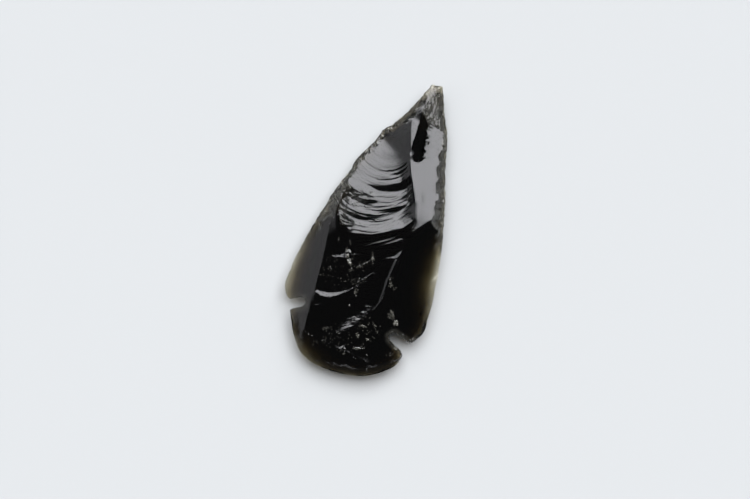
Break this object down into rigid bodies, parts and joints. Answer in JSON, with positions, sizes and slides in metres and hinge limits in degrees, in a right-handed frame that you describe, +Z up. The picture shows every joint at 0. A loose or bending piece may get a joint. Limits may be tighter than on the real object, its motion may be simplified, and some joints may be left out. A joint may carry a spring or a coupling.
{
  "type": "knapped obsidian arrowhead",
  "caption": "Leaf-shaped arrowhead flaked from black volcanic glass, with a narrow notch in each side near its rounded base; it lies flat on its back face.",
  "frame": {"origin": "under the middle of the bounding box, on the surface it lies on", "axes": "+Y from the base to the tip, +Z up from the surface it lies on, +X to the right seen from above"},
  "size_m": [0.0374, 0.077, 0.0084],
  "materials": {
    "obsidian": "black volcanic glass, glossy flake scars, crushed greyish edges that let light through where they are thin"
  },
  "bodies": {
    "root": {"arrowhead": "obsidian"}
  },
  "joints": []
}
